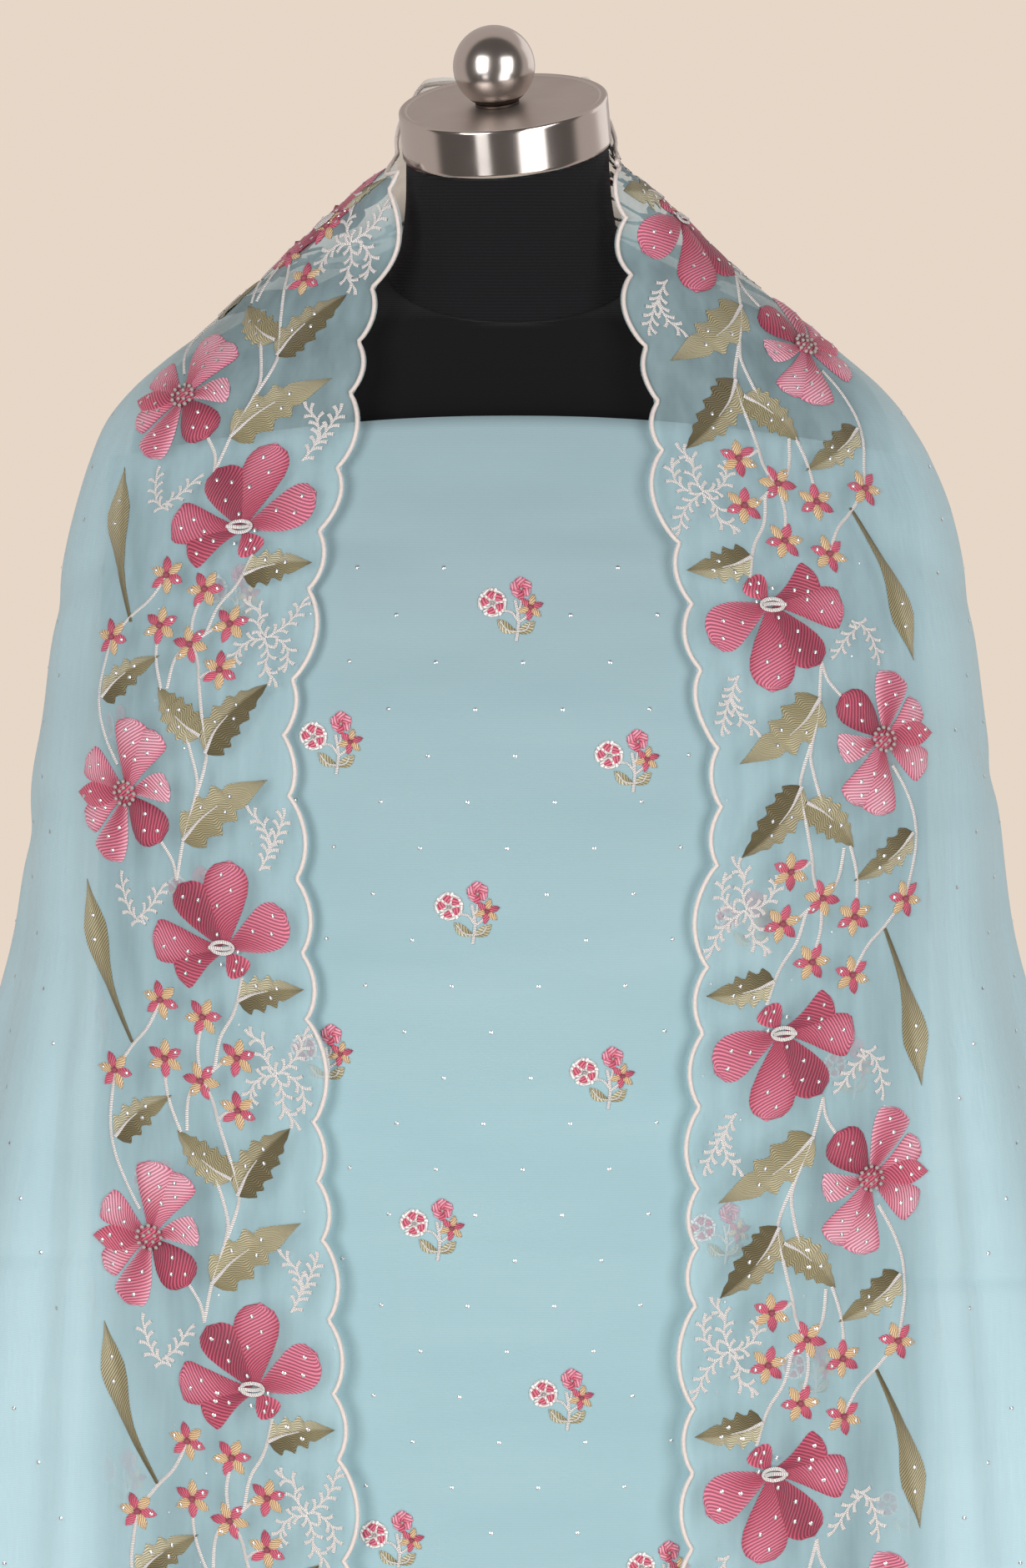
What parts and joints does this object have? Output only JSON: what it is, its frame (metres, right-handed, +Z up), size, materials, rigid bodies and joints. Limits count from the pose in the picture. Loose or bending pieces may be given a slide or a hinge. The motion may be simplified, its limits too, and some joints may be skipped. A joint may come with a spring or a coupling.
{
  "type": "salwar kameez suit on a dress form",
  "caption": "Unstitched kameez and salwar lengths wrapped on a limbless dress form, with a scalloped, embroidered dupatta over both shoulders.",
  "frame": {"origin": "middle of the stand's underside, on the floor", "axes": "+Z up, -Y towards the front of the suit, +X towards the viewer's right when the front is seen"},
  "size_m": [0.7718, 0.3916, 1.5953],
  "materials": {
    "dupatta": "semi-sheer organza with an embroidered border",
    "kameez_cloth": "plain cotton silk with sprigs",
    "salwar_cloth": "plain cotton silk",
    "form_torso": "black jersey over a hard shell",
    "form_neck": "black ribbed jersey over a hard shell",
    "neck_cap": "polished",
    "cap_knob": "polished",
    "stand_pole": "satin",
    "stand_base": "satin"
  },
  "bodies": {
    "root": {"dupatta": "dupatta", "kameez_cloth": "kameez_cloth", "salwar_cloth": "salwar_cloth", "form_torso": "form_torso", "form_neck": "form_neck", "neck_cap": "neck_cap", "cap_knob": "cap_knob", "stand_pole": "stand_pole", "stand_base": "stand_base"}
  },
  "joints": []
}
